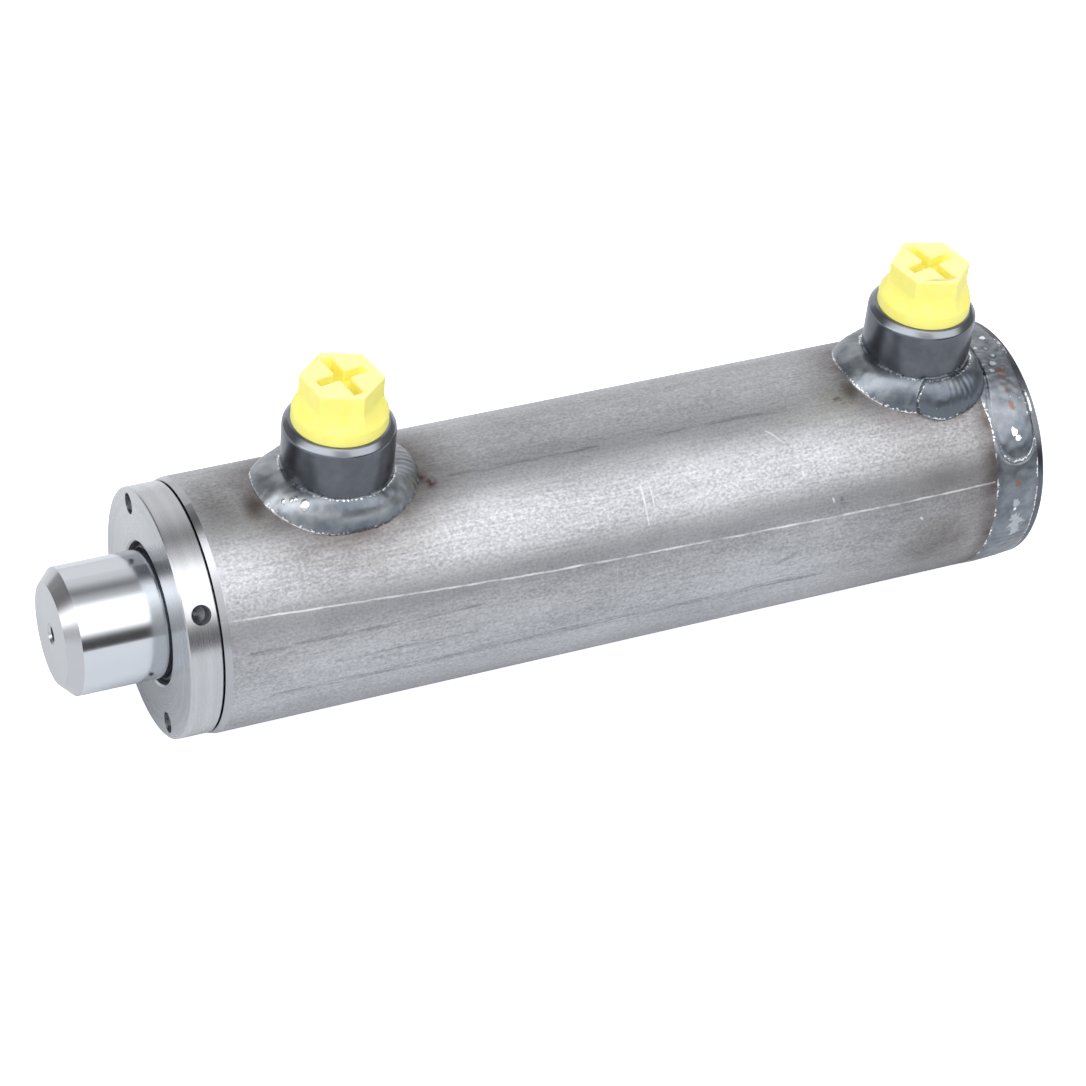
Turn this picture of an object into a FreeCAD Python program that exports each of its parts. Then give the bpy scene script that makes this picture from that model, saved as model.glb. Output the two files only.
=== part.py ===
import FreeCAD, Part
import os
from math import cos, pi, sin

# A double-acting hydraulic cylinder with plain ends, closed, with its two port plugs in.
# Millimetres. The origin is the centre of the base's rear face, on the axis.
# +X runs along the axis to the rod's end, and +Z points up through the ports.

# Driving sizes of this class of cylinder: 60 mm barrel, 50 mm bore, 30 mm rod
barrel_dia = 60.0
bore_dia = 50.0
rod_dia = 30.0
stroke = 100.0

# Lengths along the axis
barrel_front = 211.0
collar_gap = 0.25
collar_front = 219.0
rod_end = 242.0
base_inner = 19.5
piston_rear = 33.0
piston_front = 67.0
gland_stop_gap = 0.3

# Base cap and the groove weld that joins it to the barrel
base_rim_dia = 59.2
base_edge_break = 0.5
base_rim_end = 1.9
weld_root_rear = 7.5
weld_root_front = 8.5
weld_toe_front = 13.4
weld_crown_dia = 60.5

# Ports: G3/8 sockets in round bosses, with an oil hole through the barrel's wall
base_port_x = 25.0
port_spacing = 149.7
rod_port_x = base_port_x + port_spacing
boss_dia = 26.0
boss_top = 46.0
boss_chamfer = 1.5
port_thread_dia = 15.8
port_thread_depth = 12.0
port_mouth_dia = 17.6
oil_hole_dia = 10.0

# Fillet welds round the bosses. Each skirt's outline is a (half length, half width) at two heights:
# level with the barrel's crown, and at the foot, below where the skirt meets the barrel's sides.
weld_top = 33.2
weld_foot = 22.0
weld_leg_step = 0.25
rod_weld_at_crown = (19.4, 15.3)
rod_weld_at_foot = (29.5, 16.9)
rod_weld_shift = 0.2
base_weld_at_crown = (17.2, 16.0)
base_weld_at_foot = (24.0, 18.2)
base_weld_shift = 2.6

# Gland: collar, thread, seal land and nose
collar_dia = 58.8
collar_edge_break = 0.3
gland_thread_dia = 54.0
gland_relief_dia = 51.2
gland_relief_len = 3.25
gland_thread_end = 195.0
counterbore_end = 194.0
gland_land_dia = 49.9
gland_land_end = 193.6
gland_land_start = 181.0
gland_nose_dia = 40.0
gland_bore_dia = 30.4
o_ring_groove_dia = 44.2
o_ring_groove_start = 184.0
o_ring_groove_end = 190.0
pin_hole_dia = 5.0
pin_hole_depth = 6.0
pin_hole_circle = 51.0
pin_hole_turn = -35.0
hook_hole_dia = 4.6
hook_hole_x = 215.0
hook_hole_turn = 53.0
hook_hole_depth = 5.0
drill_tip_ratio = 0.3

# Grooves round the rod, and the rings that sit in them
guide_groove_dia = 35.0
guide_groove_len = 9.7
inner_guide_start = 169.0
outer_guide_start = 195.0
rod_seal_groove_dia = 38.0
rod_seal_start = 182.0
rod_seal_len = 9.0
wiper_groove_dia = 38.6
wiper_groove_start = 211.0
wiper_groove_end = 216.3
wiper_opening_dia = 33.5
running_gap = 0.03
seat_gap = 0.05
ring_back_gap = 0.02
ring_end_gap = 1.5
ring_cut_angle = 30.0

# Rod: chamfered nose with a lathe centre, spigot for the piston, thread for the nut
rod_chamfer = 3.0
centre_hole_dia = 4.0
centre_hole_depth = 6.0
centre_cone_depth = 0.6
spigot_dia = 22.0
nut_thread_dia = 21.8
rod_tail = 20.0
rod_o_ring_groove_dia = 18.4
rod_o_ring_start = 56.0
rod_o_ring_len = 3.0

# Piston and its compact seal set
piston_dia = 49.6
seal_groove_dia = 38.0
seal_groove_half = 10.25
guide_step_dia = 46.0
guide_step_len = 3.1
guide_ring_len = 6.3
backup_ring_len = 5.2
guide_foot_dia = 42.0

# Lock nut
nut_width = 32.0
nut_collar_x = 24.0
nut_collar_dia = 29.0
insert_dia = 26.0
insert_start = 20.9
insert_end = 23.6
nut_lip_dia = 23.4

# Port plugs: flange, flared hexagon with crossed slots, hollow threaded shank
plug_flange_dia = 22.2
plug_flange_top_dia = 22.0
plug_flange_len = 3.0
plug_flare_len = 4.0
plug_hex_width = 17.0
plug_hex_top_width = 16.8
plug_top = 58.0
plug_shank_dia = 15.6
plug_shank_len = 8.0
plug_hollow_dia = 11.6
plug_skin = 1.2
plug_seat_gap = 0.02
slot_width = 2.5
slot_depth = 3.6
long_slot = 15.0
short_slot = 12.6
rod_plug_turn = 9.5
base_plug_turn = 13.0

ORIGIN = FreeCAD.Vector(0, 0, 0)
AXIS = FreeCAD.Vector(1, 0, 0)
UP = FreeCAD.Vector(0, 0, 1)


def half_plane(x, dia):
    """The point at x and at this diameter, in the half plane that outlines are drawn in."""
    return FreeCAD.Vector(x, 0, dia / 2)


def turned(outline):
    """A solid turned about the axis from a closed half outline of (x, diameter) points."""
    points = [half_plane(x, dia) for x, dia in outline]
    wire = Part.makePolygon(points + points[:1])
    return Part.Face(wire).revolve(ORIGIN, AXIS, 360)


def around(vector, degrees):
    """The vector turned about the axis, from +Z towards +Y."""
    turn = FreeCAD.Rotation(AXIS, -degrees)
    return turn.multVec(vector)


def blind_hole(mouth, direction, dia, depth):
    """A drilled hole with its cone-shaped end."""
    hole = Part.makeCylinder(dia / 2, depth, mouth, direction)
    tip = Part.makeCone(dia / 2, 0, dia * drill_tip_ratio, mouth + direction * depth, direction)
    return hole.fuse(tip)


def barrel_envelope():
    """The barrel's outside as a plain bar, for cutting what sits on it."""
    return Part.makeCylinder(barrel_dia / 2, rod_end, ORIGIN, AXIS)


def make_barrel_tube():
    """Cold-drawn tube: weld bevel at the rear, threaded counterbore and turned rim in front."""
    rim_len = 1.6
    rim_drop = 0.9
    mouth_chamfer = 0.5
    lead_in = counterbore_end - (gland_thread_dia - bore_dia) / 2
    tube = turned([
        (weld_root_front, bore_dia),
        (lead_in, bore_dia),
        (counterbore_end, gland_thread_dia),
        (barrel_front - mouth_chamfer, gland_thread_dia),
        (barrel_front, gland_thread_dia + 2 * mouth_chamfer),
        (barrel_front, barrel_dia - rim_drop),
        (barrel_front - rim_len, barrel_dia),
        (weld_toe_front, barrel_dia),
    ])
    for x in (base_port_x, rod_port_x):
        oil_hole = Part.makeCylinder(oil_hole_dia / 2, barrel_dia, FreeCAD.Vector(x, 0, 0), UP)
        tube = tube.cut(oil_hole)
    return tube


def make_base_cap():
    """Turned cap whose spigot fits the bore, with the rear half of the weld groove."""
    spigot_chamfer = 0.5
    return turned([
        (0, 0),
        (0, base_rim_dia - 2 * base_edge_break),
        (base_edge_break, base_rim_dia),
        (base_rim_end, base_rim_dia),
        (weld_root_rear, bore_dia),
        (base_inner - spigot_chamfer, bore_dia),
        (base_inner, bore_dia - 2 * spigot_chamfer),
        (base_inner, 0),
    ])


def make_base_weld():
    """Weld bead that fills the groove, with a low crown."""
    rear_toe = half_plane(base_rim_end, base_rim_dia)
    front_toe = half_plane(weld_toe_front, barrel_dia)
    crown = half_plane((base_rim_end + weld_toe_front) / 2, weld_crown_dia)
    root_front = half_plane(weld_root_front, bore_dia)
    root_rear = half_plane(weld_root_rear, bore_dia)
    edges = [
        Part.Arc(rear_toe, crown, front_toe).toShape(),
        Part.LineSegment(front_toe, root_front).toShape(),
        Part.LineSegment(root_front, root_rear).toShape(),
        Part.LineSegment(root_rear, rear_toe).toShape(),
    ]
    return Part.Face(Part.Wire(edges)).revolve(ORIGIN, AXIS, 360)


def make_port_boss(x):
    """Round boss saddled on the barrel, with a threaded socket, a lead-in and an oil hole."""
    foot = FreeCAD.Vector(x, 0, weld_foot)
    height = boss_top - weld_foot
    boss = Part.makeCylinder(boss_dia / 2, height - boss_chamfer, foot, UP)
    edge = FreeCAD.Vector(x, 0, boss_top - boss_chamfer)
    boss = boss.fuse(Part.makeCone(boss_dia / 2, boss_dia / 2 - boss_chamfer, boss_chamfer, edge, UP))
    boss = boss.cut(barrel_envelope())
    mouth = FreeCAD.Vector(x, 0, boss_top)
    boss = boss.cut(blind_hole(mouth, -UP, port_thread_dia, port_thread_depth))
    lead_in_depth = (port_mouth_dia - port_thread_dia) / 2
    boss = boss.cut(Part.makeCone(port_mouth_dia / 2, port_thread_dia / 2, lead_in_depth, mouth, -UP))
    boss = boss.cut(Part.makeCylinder(oil_hole_dia / 2, boss_top, FreeCAD.Vector(x, 0, 0), UP))
    return boss.removeSplitter()


def make_base_port_boss():
    """The base port's boss, whose foot stands against the base weld's bead."""
    return make_port_boss(base_port_x).cut(make_base_weld())


def ellipse_wire(x, z, half_length, half_width):
    """A level ellipse, longer along the barrel than across it."""
    curve = Part.Ellipse(FreeCAD.Vector(x, 0, z), half_length, half_width)
    return Part.Wire(curve.toShape())


def make_port_weld(x, at_crown, at_foot, shift):
    """Fillet weld round a boss: a convex skirt, wider along the barrel, that ends on its surface."""
    top = boss_dia / 2 + weld_leg_step
    sections = [
        ellipse_wire(x, weld_top, top, top),
        ellipse_wire(x + shift, barrel_dia / 2, *at_crown),
        ellipse_wire(x + shift, weld_foot, *at_foot),
    ]
    skirt = Part.makeLoft(sections, True)
    skirt = skirt.cut(barrel_envelope())
    boss = Part.makeCylinder(boss_dia / 2, barrel_dia, FreeCAD.Vector(x, 0, 0), UP)
    return skirt.cut(boss)


def make_base_port_weld():
    """The fillet weld round the base port, which runs up against the base weld's bead."""
    weld = make_port_weld(base_port_x, base_weld_at_crown, base_weld_at_foot, base_weld_shift)
    return weld.cut(make_base_weld())


def make_gland():
    """Screwed gland: spanner collar, thread, seal land, nose and the grooves round the rod."""
    mouth_chamfer = 0.4
    thread_chamfer = 1.0
    land_chamfer = 0.8
    collar_rear = barrel_front + collar_gap
    relief_start = collar_rear - gland_relief_len
    nose_end = piston_front + stroke + gland_stop_gap
    gland = turned([
        (collar_front - mouth_chamfer, wiper_opening_dia),
        (collar_front, wiper_opening_dia + 2 * mouth_chamfer),
        (collar_front, collar_dia - 2 * collar_edge_break),
        (collar_front - collar_edge_break, collar_dia),
        (collar_rear + collar_edge_break, collar_dia),
        (collar_rear, collar_dia - 2 * collar_edge_break),
        (collar_rear, gland_relief_dia),
        (relief_start, gland_relief_dia),
        (relief_start - thread_chamfer, gland_thread_dia),
        (gland_thread_end + thread_chamfer, gland_thread_dia),
        (gland_thread_end, gland_thread_dia - 2 * thread_chamfer),
        (gland_land_end, gland_land_dia),
        (o_ring_groove_end, gland_land_dia),
        (o_ring_groove_end, o_ring_groove_dia),
        (o_ring_groove_start, o_ring_groove_dia),
        (o_ring_groove_start, gland_land_dia),
        (gland_land_start + land_chamfer, gland_land_dia),
        (gland_land_start, gland_land_dia - 2 * land_chamfer),
        (gland_land_start, gland_nose_dia),
        (nose_end, gland_nose_dia),
        (nose_end, gland_bore_dia),
        (inner_guide_start, gland_bore_dia),
        (inner_guide_start, guide_groove_dia),
        (inner_guide_start + guide_groove_len, guide_groove_dia),
        (inner_guide_start + guide_groove_len, gland_bore_dia),
        (rod_seal_start, gland_bore_dia),
        (rod_seal_start, rod_seal_groove_dia),
        (rod_seal_start + rod_seal_len, rod_seal_groove_dia),
        (rod_seal_start + rod_seal_len, gland_bore_dia),
        (outer_guide_start, gland_bore_dia),
        (outer_guide_start, guide_groove_dia),
        (outer_guide_start + guide_groove_len, guide_groove_dia),
        (outer_guide_start + guide_groove_len, gland_bore_dia),
        (wiper_groove_start, gland_bore_dia),
        (wiper_groove_start, wiper_groove_dia),
        (wiper_groove_end, wiper_groove_dia),
        (wiper_groove_end, wiper_opening_dia),
    ])
    for turn in (pin_hole_turn, pin_hole_turn + 180):
        mouth = around(UP * (pin_hole_circle / 2), turn) + AXIS * collar_front
        gland = gland.cut(blind_hole(mouth, -AXIS, pin_hole_dia, pin_hole_depth))
    outward = around(UP, hook_hole_turn)
    drill_clearance = 0.5
    mouth = AXIS * hook_hole_x + outward * (collar_dia / 2 + drill_clearance)
    return gland.cut(blind_hole(mouth, -outward, hook_hole_dia, hook_hole_depth + drill_clearance))


def make_gland_o_ring():
    """O-ring squeezed flat between its groove and the bore, with bulging sides."""
    squeezed_len = 3.9
    side_gap = 0.2
    bulge = 0.9
    start = o_ring_groove_start + side_gap
    end = start + squeezed_len
    inner = o_ring_groove_dia
    middle = (inner + bore_dia) / 2
    return turned([
        (start + bulge, inner),
        (end - bulge, inner),
        (end, middle),
        (end - bulge, bore_dia),
        (start + bulge, bore_dia),
        (start, middle),
    ])


def plain_ring(start, end, inner, outer):
    """A ring of rectangular section."""
    return turned([(start, inner), (end, inner), (end, outer), (start, outer)])


def make_gland_backup_ring():
    """Flat ring that stops the O-ring being pushed out of its groove."""
    ring_len = 1.5
    end = o_ring_groove_end - seat_gap
    return plain_ring(end - ring_len, end, o_ring_groove_dia + seat_gap, gland_land_dia)


def make_rod_guide_ring(start):
    """Guide strip bent round the rod, with its slanted end gap."""
    length = guide_groove_len - 2 * seat_gap
    inner = rod_dia + 2 * running_gap
    outer = guide_groove_dia - 2 * ring_back_gap
    ring = plain_ring(start + seat_gap, start + seat_gap + length, inner, outer)
    cut = Part.makeBox(
        3 * length, ring_end_gap, guide_groove_dia,
        FreeCAD.Vector(-1.5 * length, -ring_end_gap / 2, 0),
    )
    cut.rotate(ORIGIN, UP, ring_cut_angle)
    cut.translate(AXIS * (start + guide_groove_len / 2))
    return ring.cut(cut)


def make_rod_seal():
    """U-cup: solid heel in front, two lips facing the oil."""
    lip_gap = 0.4
    lip_len = 2.6
    notch_depth = 4.0
    notch_half = 0.8
    heel_relief = 0.4
    front = rod_seal_start + rod_seal_len - seat_gap
    lip = rod_seal_start + lip_gap
    seal_bore = rod_dia + 2 * running_gap
    seat = rod_seal_groove_dia - 2 * ring_back_gap
    throat = (seal_bore + seat) / 2
    return turned([
        (front, seal_bore + 2 * heel_relief),
        (front, seat),
        (lip, seat),
        (lip, throat + 2 * notch_half),
        (lip + notch_depth, throat),
        (lip, throat - 2 * notch_half),
        (lip, seal_bore),
        (lip + lip_len, seal_bore),
    ])


def make_rod_wiper():
    """Scraper snapped into its groove, with its lip out at the collar's mouth."""
    body_gap = 0.8
    neck_gap = 0.5
    lip_sink = 0.9
    lip_thickness = 0.75
    lip_land = 1.0
    edge = 0.4
    seat = wiper_groove_dia - 2 * ring_back_gap
    scraper_bore = rod_dia + 2 * running_gap
    heel = wiper_groove_start + seat_gap
    shoulder = wiper_groove_end - seat_gap
    lip = collar_front - lip_sink
    return turned([
        (heel, scraper_bore + 2 * body_gap),
        (heel, seat),
        (shoulder, seat),
        (shoulder, wiper_opening_dia - 2 * neck_gap),
        (lip - edge, scraper_bore + 2 * lip_thickness),
        (lip, scraper_bore + edge),
        (lip - edge, scraper_bore),
        (lip - edge - lip_land, scraper_bore),
        (shoulder - 2 * lip_land, scraper_bore + 2 * body_gap),
    ])


def make_piston_rod():
    """Chromed rod with a chamfered, centre-drilled nose and a spigot that carries the piston."""
    tail_chamfer = 1.5
    shoulder_edge_break = 0.5
    thread_end = piston_rear + 1.0
    groove_end = rod_o_ring_start + rod_o_ring_len
    rod = turned([
        (rod_tail, 0),
        (rod_tail, nut_thread_dia - 2 * tail_chamfer),
        (rod_tail + tail_chamfer, nut_thread_dia),
        (thread_end, nut_thread_dia),
        (thread_end, spigot_dia),
        (rod_o_ring_start, spigot_dia),
        (rod_o_ring_start, rod_o_ring_groove_dia),
        (groove_end, rod_o_ring_groove_dia),
        (groove_end, spigot_dia),
        (piston_front, spigot_dia),
        (piston_front, rod_dia - 2 * shoulder_edge_break),
        (piston_front + shoulder_edge_break, rod_dia),
        (rod_end - rod_chamfer, rod_dia),
        (rod_end, rod_dia - 2 * rod_chamfer),
        (rod_end, 0),
    ])
    mouth = AXIS * rod_end
    rod = rod.cut(blind_hole(mouth, -AXIS, centre_hole_dia, centre_hole_depth))
    cone_dia = centre_hole_dia + 2 * centre_cone_depth
    return rod.cut(Part.makeCone(cone_dia / 2, centre_hole_dia / 2, centre_cone_depth, mouth, -AXIS))


def make_piston():
    """Piston with the stepped groove of a compact seal set, clamped against the rod's shoulder."""
    rear_chamfer = 0.5
    front_chamfer = 1.0
    middle = (piston_rear + piston_front) / 2
    rear_step = middle - seal_groove_half
    front_step = middle + seal_groove_half
    return turned([
        (piston_rear, spigot_dia),
        (piston_rear, piston_dia - 2 * rear_chamfer),
        (piston_rear + rear_chamfer, piston_dia),
        (rear_step - guide_step_len, piston_dia),
        (rear_step - guide_step_len, guide_step_dia),
        (rear_step, guide_step_dia),
        (rear_step, seal_groove_dia),
        (front_step, seal_groove_dia),
        (front_step, guide_step_dia),
        (front_step + guide_step_len, guide_step_dia),
        (front_step + guide_step_len, piston_dia),
        (piston_front - front_chamfer, piston_dia),
        (piston_front, piston_dia - 2 * front_chamfer),
        (piston_front, spigot_dia),
    ])


def facing(side, outline):
    """Turned ring of the seal set, drawn from the piston's middle outwards, on its front or rear side."""
    middle = (piston_rear + piston_front) / 2
    return turned([(middle + side * x, dia) for x, dia in outline])


def make_piston_guide_ring(side):
    """Hard guide ring with a foot that hooks over the step and reaches into the groove."""
    outer = bore_dia - 2 * running_gap
    end = seal_groove_half + guide_step_len - seat_gap
    return facing(side, [
        (end, guide_step_dia + 2 * running_gap),
        (end, outer),
        (end - guide_ring_len, outer),
        (end - guide_ring_len, guide_foot_dia),
        (seal_groove_half - seat_gap, guide_foot_dia),
        (seal_groove_half - seat_gap, guide_step_dia + 2 * running_gap),
    ])


def make_piston_backup_ring(side):
    """Elastomer ring that bridges the guide ring and the seal."""
    bore_gap = 0.3
    inner = seal_groove_dia + 2 * running_gap
    outer = bore_dia - 2 * bore_gap
    start = seal_groove_half - seat_gap
    guide_end = seal_groove_half + guide_step_len - guide_ring_len - 2 * seat_gap
    return facing(side, [
        (start, inner),
        (start, guide_foot_dia - 2 * seat_gap),
        (guide_end, guide_foot_dia - 2 * seat_gap),
        (guide_end, outer),
        (start - backup_ring_len, outer),
        (start - backup_ring_len, inner),
    ])


def make_piston_seal():
    """Rubber seal with two sealing beads, held between the backup rings."""
    bead_len = 1.8
    waist_half = 0.8
    waist_depth = 0.8
    half = seal_groove_half - backup_ring_len - 2 * seat_gap
    inner = seal_groove_dia + 2 * running_gap
    outer = bore_dia - 2 * running_gap
    waist = outer - 2 * waist_depth
    return facing(1, [
        (-half, inner),
        (-half, outer),
        (-half + bead_len, outer),
        (-waist_half, waist),
        (waist_half, waist),
        (half - bead_len, outer),
        (half, outer),
        (half, inner),
    ])


def make_piston_rod_o_ring():
    """O-ring that seals the piston's bore on the spigot."""
    side_gap = 0.4
    start = rod_o_ring_start + side_gap
    end = rod_o_ring_start + rod_o_ring_len - side_gap
    return plain_ring(start, end, rod_o_ring_groove_dia, spigot_dia)


def level_point(radius, angle, height):
    """The point at this angle round the vertical axis."""
    return FreeCAD.Vector(radius * cos(angle), radius * sin(angle), height)


def hexagon(width, height):
    """A level hexagon round the vertical axis, as a closed wire."""
    radius = width / 2 / cos(pi / 6)
    points = [level_point(radius, pi / 6 + k * pi / 3, height) for k in range(6)]
    return Part.makePolygon(points + points[:1])


def circle_in_six(radius, height):
    """A level circle in six arcs that start at the angles of a hexagon's corners."""
    arcs = []
    for k in range(6):
        start = pi / 6 + k * pi / 3
        points = [level_point(radius, start + step * pi / 6, height) for step in range(3)]
        arcs.append(Part.Arc(*points).toShape())
    return Part.Wire(arcs)


def rectangle(length, width, height):
    """A level rectangle round the vertical axis, as a closed wire."""
    corners = [(-1, -1), (1, -1), (1, 1), (-1, 1)]
    points = [FreeCAD.Vector(a * length / 2, b * width / 2, height) for a, b in corners]
    return Part.makePolygon(points + points[:1])


def plug_slot(length):
    """What one slot takes out of a plug: narrower at its floor, with ends that slope in."""
    end_slope = 1.6
    floor_width = slot_width - 0.3
    return Part.makeLoft([
        rectangle(length - 2 * end_slope, floor_width, plug_top - slot_depth),
        rectangle(length, slot_width, plug_top),
    ], True, True)


def make_piston_nut():
    """Lock nut with a round collar that holds its insert."""
    face_dia = nut_width - 1.5
    corner_dia = nut_width / cos(pi / 6) + 0.2
    corner_chamfer_len = 1.5
    collar_chamfer = 1.0
    hex_len = piston_rear - nut_collar_x
    prism = Part.Face(hexagon(nut_width, 0)).extrude(UP * hex_len)
    prism.rotate(ORIGIN, FreeCAD.Vector(0, 1, 0), 90)
    prism.translate(AXIS * nut_collar_x)
    envelope = turned([
        (nut_collar_x, 0),
        (nut_collar_x, face_dia),
        (nut_collar_x + corner_chamfer_len, corner_dia),
        (piston_rear - corner_chamfer_len, corner_dia),
        (piston_rear, face_dia),
        (piston_rear, 0),
    ])
    collar = turned([
        (rod_tail, 0),
        (rod_tail, nut_collar_dia - 2 * collar_chamfer),
        (rod_tail + collar_chamfer, nut_collar_dia),
        (nut_collar_x, nut_collar_dia),
        (nut_collar_x, 0),
    ])
    nut = prism.common(envelope).fuse(collar)
    bore = Part.makeCylinder(nut_thread_dia / 2, stroke, ORIGIN, AXIS)
    insert_seat = Part.makeCylinder(insert_dia / 2, insert_end - insert_start, AXIS * insert_start, AXIS)
    mouth = Part.makeCylinder(nut_lip_dia / 2, insert_start, ORIGIN, AXIS)
    return nut.cut([bore, insert_seat, mouth])


def make_nut_locking_insert():
    """Plastic ring inside the nut's collar that grips the thread."""
    return plain_ring(insert_start, insert_end, nut_thread_dia, insert_dia)


def make_port_plug(x, turn):
    """Moulded plug: hollow shank, seating flange, and a hexagon that flares out to the flange."""
    seat = boss_top + plug_seat_gap
    shank_foot = seat - plug_shank_len
    shank_radius = plug_shank_dia / 2
    tip_len = 0.8
    shank = Part.makeCylinder(shank_radius, plug_shank_len - tip_len, UP * (shank_foot + tip_len), UP)
    tip = Part.makeCone(shank_radius - tip_len, shank_radius, tip_len, UP * shank_foot, UP)
    flange = Part.makeCone(plug_flange_dia / 2, plug_flange_top_dia / 2, plug_flange_len, UP * seat, UP)
    flange_top = seat + plug_flange_len
    flare = Part.makeLoft([
        circle_in_six(plug_flange_top_dia / 2, flange_top),
        hexagon(plug_hex_top_width, flange_top + plug_flare_len),
    ], True, True)
    head = Part.makeLoft([
        hexagon(plug_hex_width, seat + plug_flange_len / 2),
        hexagon(plug_hex_top_width, plug_top),
    ], True, True)
    plug = shank.fuse([tip, flange, flare, head])
    hollow_len = plug_shank_len - plug_skin
    plug = plug.cut(Part.makeCylinder(plug_hollow_dia / 2, hollow_len, UP * shank_foot, UP))
    plug = plug.cut(plug_slot(short_slot))
    crossed_slot = plug_slot(long_slot)
    crossed_slot.rotate(ORIGIN, UP, 90)
    plug = plug.cut(crossed_slot).removeSplitter()
    plug.rotate(ORIGIN, UP, turn)
    plug.translate(AXIS * x)
    return plug


parts = {
    "barrel_tube": make_barrel_tube(),
    "base_cap": make_base_cap(),
    "base_weld": make_base_weld(),
    "rod_port_boss": make_port_boss(rod_port_x),
    "rod_port_weld": make_port_weld(rod_port_x, rod_weld_at_crown, rod_weld_at_foot, rod_weld_shift),
    "base_port_boss": make_base_port_boss(),
    "base_port_weld": make_base_port_weld(),
    "gland": make_gland(),
    "gland_o_ring": make_gland_o_ring(),
    "gland_backup_ring": make_gland_backup_ring(),
    "rod_guide_ring_inner": make_rod_guide_ring(inner_guide_start),
    "rod_seal": make_rod_seal(),
    "rod_guide_ring_outer": make_rod_guide_ring(outer_guide_start),
    "rod_wiper": make_rod_wiper(),
    "piston_rod": make_piston_rod(),
    "piston": make_piston(),
    "piston_rod_o_ring": make_piston_rod_o_ring(),
    "piston_seal": make_piston_seal(),
    "piston_backup_ring_rear": make_piston_backup_ring(-1),
    "piston_backup_ring_front": make_piston_backup_ring(1),
    "piston_guide_ring_rear": make_piston_guide_ring(-1),
    "piston_guide_ring_front": make_piston_guide_ring(1),
    "piston_nut": make_piston_nut(),
    "nut_locking_insert": make_nut_locking_insert(),
    "rod_port_plug": make_port_plug(rod_port_x, rod_plug_turn),
    "base_port_plug": make_port_plug(base_port_x, base_plug_turn),
}

os.makedirs("parts", exist_ok=True)
for name, shape in parts.items():
    shape.exportStep("parts/" + name + ".step")
    print(name, len(shape.Solids), round(shape.Volume, 1), "valid" if shape.isValid() else "INVALID")
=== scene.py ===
from functools import partial
from math import cos, exp, pi, radians, sin, sqrt, tan

import bmesh
import bpy
from mathutils import Matrix, Vector, noise


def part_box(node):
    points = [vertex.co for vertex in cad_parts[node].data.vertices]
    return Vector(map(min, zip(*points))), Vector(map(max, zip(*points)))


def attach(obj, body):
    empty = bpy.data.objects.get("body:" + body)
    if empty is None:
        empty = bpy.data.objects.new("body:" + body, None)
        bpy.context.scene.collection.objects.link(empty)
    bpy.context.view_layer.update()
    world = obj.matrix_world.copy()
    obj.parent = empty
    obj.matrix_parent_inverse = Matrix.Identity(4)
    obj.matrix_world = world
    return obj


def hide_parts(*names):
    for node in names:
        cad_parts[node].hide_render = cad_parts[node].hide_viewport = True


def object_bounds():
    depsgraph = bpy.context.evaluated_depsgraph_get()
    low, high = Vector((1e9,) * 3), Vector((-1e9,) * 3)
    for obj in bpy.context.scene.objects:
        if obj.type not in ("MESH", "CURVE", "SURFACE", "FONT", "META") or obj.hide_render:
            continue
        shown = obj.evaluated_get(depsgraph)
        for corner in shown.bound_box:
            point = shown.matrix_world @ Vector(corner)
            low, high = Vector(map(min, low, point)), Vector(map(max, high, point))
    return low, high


# Finishes, welds, bosses and plugs of a double-acting hydraulic cylinder, and the studio that it is
# photographed in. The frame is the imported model: metres, +X towards the rod's end, +Z up through the ports.

bl_info = {
    "name": "Hydraulic Cylinder Finishes",
    "version": (1, 0, 0),
    "blender": (4, 5, 0),
    "location": "View3D > Sidebar > Cylinder",
    "description": "Welds, port bosses, plugs, metal finishes and studio for a hydraulic cylinder",
    "category": "Object",
}

MM = 0.001
PER_MM = 1000.0

# Values that a weld's mesh stores for its material: bright toes with painted highlights, slag,
# and lighter skin, with painted highlight and shade on the rod port's bead
WELD_MARKS = ("toe_and_glint", "slag", "pale")
UNMARKED = (0.0, 0.0, 0.0)

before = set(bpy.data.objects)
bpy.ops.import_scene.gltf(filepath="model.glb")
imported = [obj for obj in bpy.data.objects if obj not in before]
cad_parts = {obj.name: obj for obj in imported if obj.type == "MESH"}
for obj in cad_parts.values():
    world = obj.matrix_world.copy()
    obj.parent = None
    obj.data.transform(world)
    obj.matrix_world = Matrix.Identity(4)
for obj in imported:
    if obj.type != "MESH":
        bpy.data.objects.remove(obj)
cad_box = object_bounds()


def node_box(node):
    """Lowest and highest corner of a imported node, in millimetres."""
    low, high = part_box(node)
    return low / MM, high / MM


# Sizes in millimetres, nearly all from the frame
BARREL_RADIUS = node_box("barrel_tube")[1].z
BARREL_FRONT = node_box("barrel_tube")[1].x
COLLAR_FRONT = node_box("gland")[1].x
COLLAR_RADIUS = node_box("gland")[1].z
ROD_END = node_box("piston_rod")[1].x
BOSS_LOW, BOSS_HIGH = node_box("rod_port_boss")
BOSS_RADIUS = (BOSS_HIGH.x - BOSS_LOW.x) / 2
BOSS_TOP = BOSS_HIGH.z
BOSS_CHAMFER = 1.5
ROD_PORT_X = (BOSS_HIGH.x + BOSS_LOW.x) / 2
BASE_PORT_X = sum(corner.x for corner in node_box("base_port_boss")) / 2
BASE_WELD_FRONT = node_box("base_weld")[1].x
BASE_RIM_RADIUS = node_box("base_cap")[1].z
PLUG_LOW, PLUG_HIGH = node_box("rod_port_plug")
PLUG_TOP = PLUG_HIGH.z
PLUG_FLANGE_RADIUS = (PLUG_HIGH.x - PLUG_LOW.x) / 2
PLUG_SEAT = BOSS_TOP + 0.02

# G3/8 pipe thread, which the sockets and the plugs share
THREAD_PITCH = 1.337
THREAD_DEPTH = 0.856
SOCKET_PITCH_RADIUS = 7.9
PLUG_PITCH_RADIUS = 7.8
SOCKET_DEPTH = 12.0


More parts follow.
